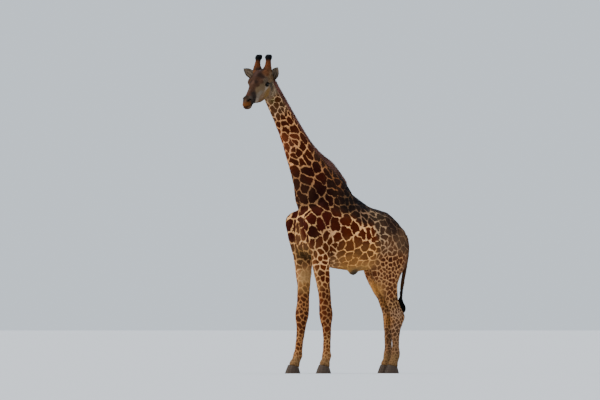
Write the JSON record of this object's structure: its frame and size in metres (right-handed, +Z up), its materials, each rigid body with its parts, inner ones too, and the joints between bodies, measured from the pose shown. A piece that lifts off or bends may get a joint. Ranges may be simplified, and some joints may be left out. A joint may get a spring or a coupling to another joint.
{
  "type": "giraffe",
  "caption": "Life-size standing male giraffe, head turned slightly to its left, with patched coat, short upright mane and hanging tasselled tail.",
  "frame": {"origin": "on the floor, under the middle of the whole animal's bounding box", "axes": "+Z up, -Y the way that the animal faces, +X its left side"},
  "size_m": [0.7838, 3.494, 5.175],
  "materials": {
    "coat": "short flat hair, dark brown patches on pale tan lines",
    "mane": "stiff upright hair",
    "tail_tuft": "coarse black hair",
    "eye": "wet and glossy",
    "hoof": "dull dark horn"
  },
  "bodies": {
    "root": {"head": "coat", "neck": "coat", "trunk": "coat", "tail": "coat", "tail_tuft": "tail_tuft", "mane": "mane", "foreleg_left": "coat", "foreleg_right": "coat", "hindleg_left": "coat", "hindleg_right": "coat", "ear_left": "coat", "ear_right": "coat", "eye_left": "eye", "eye_right": "eye", "ossicone_left": "coat", "ossicone_right": "coat", "hoof_fore_left_outer": "hoof", "hoof_fore_left_inner": "hoof", "hoof_fore_right_outer": "hoof", "hoof_fore_right_inner": "hoof", "hoof_hind_left_outer": "hoof", "hoof_hind_left_inner": "hoof", "hoof_hind_right_outer": "hoof", "hoof_hind_right_inner": "hoof"}
  },
  "joints": []
}
